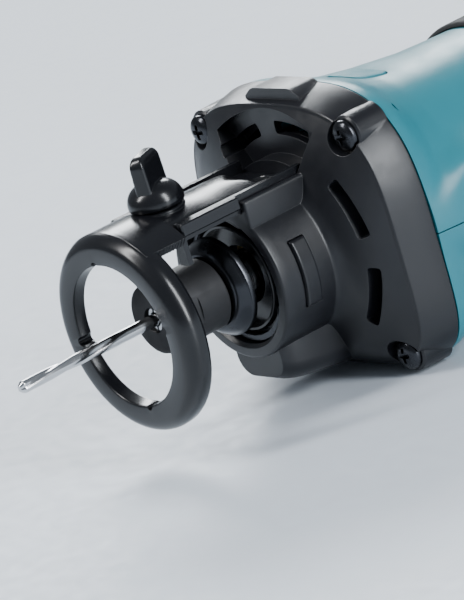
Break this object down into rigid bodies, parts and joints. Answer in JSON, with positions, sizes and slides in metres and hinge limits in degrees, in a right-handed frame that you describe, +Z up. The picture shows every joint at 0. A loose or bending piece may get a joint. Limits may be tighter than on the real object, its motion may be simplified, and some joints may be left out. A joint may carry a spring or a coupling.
{
  "type": "cordless cut-out router",
  "caption": "Hand-held motor spindle with a spiral bit, a ring depth shoe clamped in a guide by a wing knob, a gripped housing and a slide-on battery",
  "frame": {"origin": "middle of the bounding box at its lowest point, where the tool lies on its flat underside", "axes": "+Z up; the spindle lies along Y with the bit pointing to -Y and the battery at +Y; X is across the tool"},
  "size_m": [0.0836, 0.2946, 0.112],
  "materials": {
    "black": "satin moulded charcoal plastic with a fine texture",
    "teal": "semi-gloss moulded teal plastic",
    "rubber": "matte moulded rubber",
    "steel": "bright turned steel",
    "dark_steel": "blackened steel",
    "copper": "enamelled copper wire",
    "brass": "plain brass",
    "board": "green circuit board",
    "cell": "shrink-wrapped steel can"
  },
  "bodies": {
    "tool": {"front_cover": "black", "housing_upper": "teal", "housing_lower": "teal", "thumb_pad": "teal", "grip_sleeve": "rubber", "guide_bracket": "black", "bracket_screw_1": "steel", "bracket_screw_2": "steel", "dust_plate": "black", "spring_ring": "steel", "front_bearing_outer": "steel", "front_bearing_cage": "brass", "rear_bearing_outer": "steel", "rear_bearing_cage": "brass", "stator_core": "dark_steel", "winding_front": "copper", "winding_rear": "copper", "bearing_plate": "black", "switch_module": "black", "control_board": "board", "board_heat_sink": "steel", "terminal_block": "black", "terminal_blade_1": "brass", "terminal_blade_2": "brass", "cover_screw_1": "dark_steel", "cover_screw_2": "dark_steel", "cover_screw_3": "dark_steel", "cover_screw_4": "dark_steel", "housing_screw_1": "dark_steel", "housing_screw_2": "dark_steel", "housing_screw_3": "dark_steel", "housing_screw_4": "dark_steel"},
    "spindle": {"spindle_shaft": "steel", "spindle_flange": "dark_steel", "collet": "steel", "front_bearing_inner": "steel", "rear_bearing_inner": "steel", "rotor_core": "dark_steel", "cooling_fan": "black"},
    "nut": {"collet_nut": "dark_steel"},
    "bit": {"cutting_bit": "steel"},
    "shoe": {"depth_shoe": "black", "clamp_plate": "steel"},
    "knob": {"wing_knob": "black", "clamp_bolt": "steel"},
    "lock": {"shaft_lock_button": "black", "shaft_lock_pin": "steel", "shaft_lock_spring": "steel"},
    "switch": {"switch_slider": "black"},
    "battery": {"battery_case_front": "black", "battery_case_rear": "black", "battery_cell_1": "cell", "battery_cell_2": "cell", "battery_cell_3": "cell", "battery_cell_4": "cell", "battery_cell_5": "cell"},
    "latch": {"battery_latch": "black"}
  },
  "joints": [
    {"name": "spindle_spin", "type": "hinge", "parent": "tool", "child": "spindle", "pos_m": [0, -0.0653, 0.0334], "axis": [0, 1, 0], "continuous": true},
    {"name": "nut_turn", "type": "hinge", "parent": "spindle", "child": "nut", "pos_m": [0, -0.0903, 0.0334], "axis": [0, 1, 0], "continuous": true},
    {"name": "bit_slide", "type": "slide", "parent": "spindle", "child": "bit", "axis": [0, -1, 0], "range_m": [0, 0.03]},
    {"name": "depth_slide", "type": "slide", "parent": "tool", "child": "shoe", "axis": [0, -1, 0], "range_m": [0, 0.0115]},
    {"name": "knob_turn", "type": "hinge", "parent": "shoe", "child": "knob", "pos_m": [0, -0.0943, 0.0634], "axis": [0, 0, 1], "continuous": true},
    {"name": "lock_press", "type": "slide", "parent": "tool", "child": "lock", "axis": [-1, 0, 0], "range_m": [0, 0.0022], "stiffness_N_per_m": 400, "deforming": ["shaft_lock_spring"]},
    {"name": "switch_slide", "type": "slide", "parent": "tool", "child": "switch", "axis": [0, -1, 0], "range_m": [0, 0.006]},
    {"name": "battery_slide", "type": "slide", "parent": "tool", "child": "battery", "axis": [0, 0, 1], "range_m": [0, 0.08]},
    {"name": "latch_press", "type": "slide", "parent": "battery", "child": "latch", "axis": [0, 1, 0], "range_m": [0, 0.003], "stiffness_N_per_m": 600}
  ]
}
